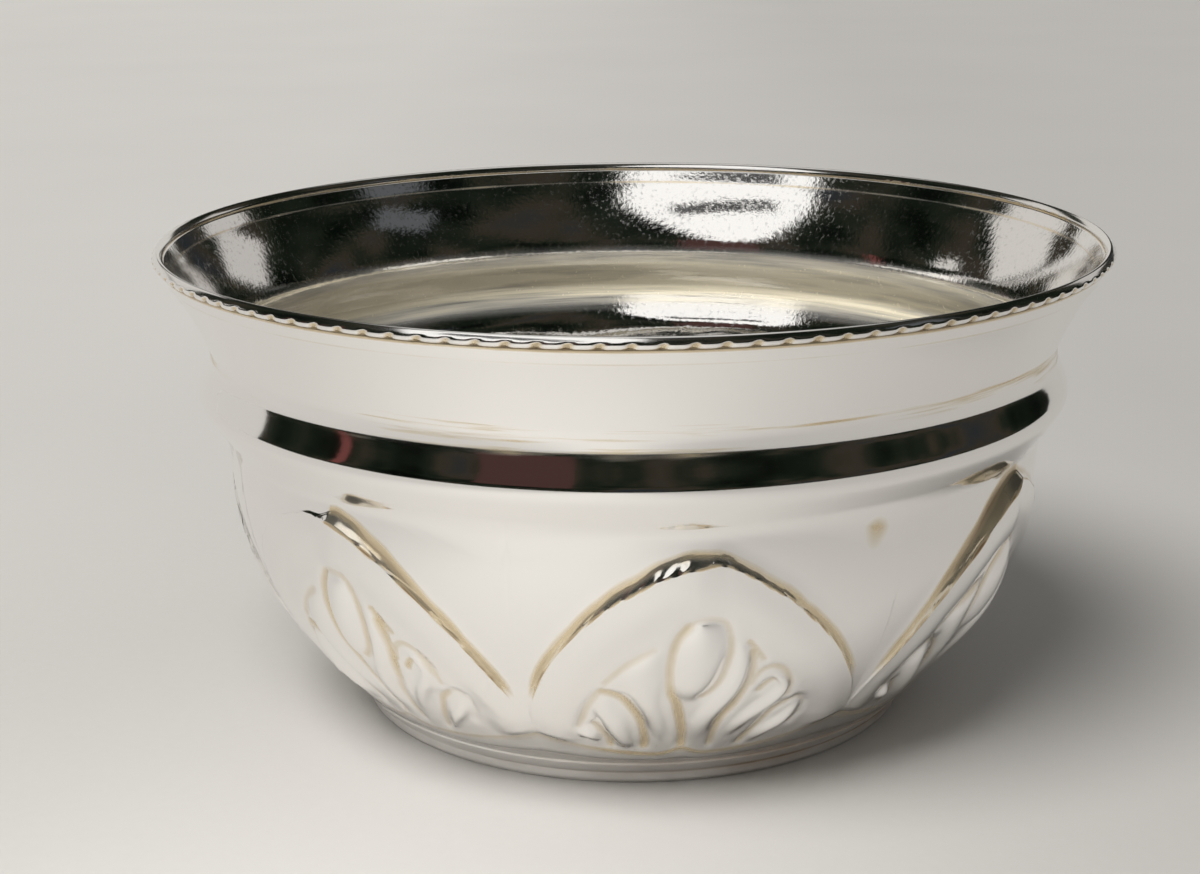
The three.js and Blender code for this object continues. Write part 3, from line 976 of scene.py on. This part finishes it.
def card(name, outlines, finish):
    """A stage piece of flat faces, each given by its corners in metres."""
    bm = bmesh.new()
    for corners in outlines:
        bm.faces.new([bm.verts.new(corner) for corner in corners])
    mesh = bpy.data.meshes.new(name)
    bm.to_mesh(mesh)
    bm.free()
    mesh.materials.append(finish)
    made = bpy.data.objects.new(name, mesh)
    bpy.context.scene.collection.objects.link(made)
    made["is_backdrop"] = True
    return made


paper = Finish(bpy.data.materials.new("pale_table"))
place = paper.node("ShaderNodeTexCoord", output="Object")
x, y, _ = paper.parts(place)
cloud = paper.noise(place, 14.0, 5.0)
speck = paper.noise(place, 900.0, 2.0)
# Painted shade: the table's colour darkens from left to right, as the falloff of a near lamp would.
sides = paper.node("ShaderNodeMapRange", sockets={"Value": x, "From Min": -0.08, "From Max": 0.08,
                                                  "To Min": 1.06, "To Max": 0.84})
# Painted light: a pool of brighter colour on the table just in front of the bowl.
front = paper.band(y, *PAINTED_POOL_DEPTH)
off_middle = (x - PAINTED_POOL_MIDDLE) / PAINTED_POOL_WIDTH
painted_pool = math.e ** (0 - off_middle * off_middle)
tone = sides * (1 + painted_pool * front * PAINTED_POOL_SHARE) * (0.95 + cloud * 0.07 + speck * 0.03)
shade = paper.node("ShaderNodeVectorMath", {"operation": "SCALE"}, {0: FLOOR_COLOR, "Scale": tone})
shader = paper.node("ShaderNodeBsdfPrincipled", sockets={"Base Color": shade, "Roughness": 0.9})
paper.node("ShaderNodeOutputMaterial", sockets={"Surface": shader})
table = card("table", [[(-FLOOR_HALF, -FLOOR_HALF, 0), (FLOOR_HALF, -FLOOR_HALF, 0),
                        (FLOOR_HALF, FLOOR_HALF, 0), (-FLOOR_HALF, FLOOR_HALF, 0)]], paper.holder)
print("Stage:", table.name)

# %% [markdown]
# What only the silver sees
#
# Far off stand strips of pale wall that the picture doesn't show, but the ends of the inside and
# of the neck do. Two red things and a grey shelf show as dull marks in the dark band and inside.
# All are even glows, so that the silver shows them at the tone they are given.

# %% Hang the strips
WALL_DISTANCE = 1.7
DEGREES_A_FACE = 4


def glowing(name, color):
    """A finish that gives off an even light, for things that are only seen in the silver."""
    finish = Finish(bpy.data.materials.new(name))
    shine = finish.node("ShaderNodeEmission", sockets={"Color": (*color, 1.0), "Strength": 1.0})
    finish.node("ShaderNodeOutputMaterial", sockets={"Surface": shine})
    return finish.holder


def only_in_silver(piece):
    """Hide a piece from the camera, the table and shadows, but not from reflections."""
    piece.visible_camera = False
    piece.visible_diffuse = False
    piece.visible_shadow = False
    return piece


def strip(name, start, end, low, high, finish):
    """A curved strip round the bowl between two azimuths and two heights, all in degrees."""
    count = max(1, round(abs(end - start) / DEGREES_A_FACE))
    feet = [direction(math.radians(start + (end - start) * step / count), 0) * WALL_DISTANCE
            for step in range(count + 1)]
    bottom, top = (Vector((0, 0, WALL_DISTANCE * math.tan(math.radians(height))))
                   for height in (low, high))
    faces = [[left + bottom, right + bottom, right + top, left + top]
             for left, right in zip(feet, feet[1:])]
    return only_in_silver(card(name, faces, finish))


wall_glow = glowing("pale_wall", (0.61, 0.59, 0.56))
strip("wall_left_low", -108, -166, 0, 12, wall_glow)
strip("wall_left_middle", -102, -112, 17, 22, wall_glow)
strip("wall_left", -126, -150, 13, 32, wall_glow)
strip("wall_right", 130, 148, 12, 25, glowing("pale_corner", (0.5, 0.48, 0.46)))
strip("wall_back", 167, 200, 0, 24, wall_glow)
strip("grey_shelf", 70, 90, 37, 45, glowing("grey_shelf", (0.09, 0.095, 0.1)))
strip("red_door", -77, -80, 6, 23, glowing("red_door", (0.15, 0.05, 0.045)))
strip("red_chair", -40, -15, 14, 33, glowing("red_chair", (0.06, 0.03, 0.027)))
hung = [piece.name for piece in bpy.data.objects if not piece.visible_camera]
print("Strips that only the silver sees:", ", ".join(hung))

# %% [markdown]
# Lamp, bar and room
#
# The inside shows one oval lamp, high on the left in front of the bowl and quite near, narrower
# below and with a dark bar across it. It is a glowing disc that only polished metal sees. The
# even light on the table comes from a sun lamp in the same direction, which the metal doesn't
# see, so that each can be set alone. The rest of the room is dark to mirrors, with dim coloured
# patches, while matt surfaces get a soft fill from it, as from walls out of sight.

# %% Light the bowl
LAMP_AZIMUTH = math.radians(-36)
LAMP_HEIGHT = math.radians(56)
LAMP_DISTANCE = 0.42
LAMP_SIZE = (0.158, 0.15)
LAMP_SIDES = 64
BAR_HEIGHT = math.radians(57.5)
BAR_DISTANCE = 0.38
BAR_SIZE = (0.15, 0.034)
SUN_HEIGHT = math.radians(59)
SUN_WIDTH = math.radians(34)
SUN_STRENGTH = 2.82
FILL = 0.25

sun_data = bpy.data.lights.new("sun", "SUN")
sun_data.energy = SUN_STRENGTH
sun_data.angle = SUN_WIDTH
sun_data.color = (1.0, 0.995, 0.985)
sun = bpy.data.objects.new("sun", sun_data)
sun.rotation_euler = direction(LAMP_AZIMUTH, SUN_HEIGHT).to_track_quat("Z", "Y").to_euler()
sun.visible_glossy = False
bpy.context.scene.collection.objects.link(sun)


def across_and_up(azimuth, height):
    """Two unit vectors square to a direction: one level, one upwards."""
    across = Vector((math.cos(azimuth), math.sin(azimuth), 0))
    return across, direction(azimuth, height).cross(across).normalized()


across, up = across_and_up(LAMP_AZIMUTH, LAMP_HEIGHT)
lamp_middle = direction(LAMP_AZIMUTH, LAMP_HEIGHT) * LAMP_DISTANCE
turns = [2 * math.pi * side / LAMP_SIDES for side in range(LAMP_SIDES)]
disc = [lamp_middle + across * math.cos(turn) * (0.9 + 0.3 * math.sin(turn)) * LAMP_SIZE[0]
        + up * math.sin(turn) * LAMP_SIZE[1] for turn in turns]
only_in_silver(card("lamp", [disc], glowing("lamp_glow", (1.0, 0.99, 0.97))))

across, up = across_and_up(LAMP_AZIMUTH, BAR_HEIGHT)
bar_middle = direction(LAMP_AZIMUTH, BAR_HEIGHT) * BAR_DISTANCE
long_way, short_way = across * BAR_SIZE[0] / 2, up * BAR_SIZE[1] / 2
bar_corners = [bar_middle - long_way - short_way, bar_middle + long_way - short_way,
               bar_middle + long_way + short_way, bar_middle - long_way + short_way]
only_in_silver(card("lamp_bar", [bar_corners], glowing("bar_grey", (0.07, 0.07, 0.07))))
print("Lamp at", [round(value, 2) for value in lamp_middle])

# %% Fill the room
PATCH_STOPS = [(0.34, (0.002, 0.003, 0.002)), (0.48, (0.01, 0.014, 0.009)),
               (0.58, (0.034, 0.028, 0.02)), (0.7, (0.018, 0.022, 0.025))]
CEILING = (0.6, 0.59, 0.57, 1.0)

room = Finish(bpy.data.worlds.new("room"))
bpy.context.scene.world = room.holder
way = room.node("ShaderNodeTexCoord", output="Generated")
patches = room.noise(way, 3.4, 3.0)
dim = room.node("ShaderNodeValToRGB", {"stops": PATCH_STOPS}, {"Fac": patches})
_, back, up = room.parts(way)
ceiling = room.fade(up + back * 0.3, 0.88, 0.98)
in_mirror = room.mix(ceiling, dim, CEILING)
is_glossy = room.node("ShaderNodeLightPath", output="Is Glossy Ray")
seen = room.mix(is_glossy, (FILL, FILL, FILL * 0.985, 1.0), in_mirror)
light = room.node("ShaderNodeBackground", sockets={"Color": seen, "Strength": 1.0})
room.node("ShaderNodeOutputWorld", sockets={"Surface": light})
bpy.context.scene.view_settings.view_transform = "Standard"
print("Fill", FILL, "and sun", SUN_STRENGTH)

# %% [markdown]
# The size of the pieces
#
# The finer pieces must stay in the box of the CAD model, so both boxes are printed.

# %% Print the sizes
size = {"cad": [[float(value) for value in corner] for corner in cad_box],
        "visual": [[float(value) for value in corner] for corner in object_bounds()]}
for name, corners in size.items():
    print(name, [[round(value / MM, 2) for value in corner] for corner in corners])
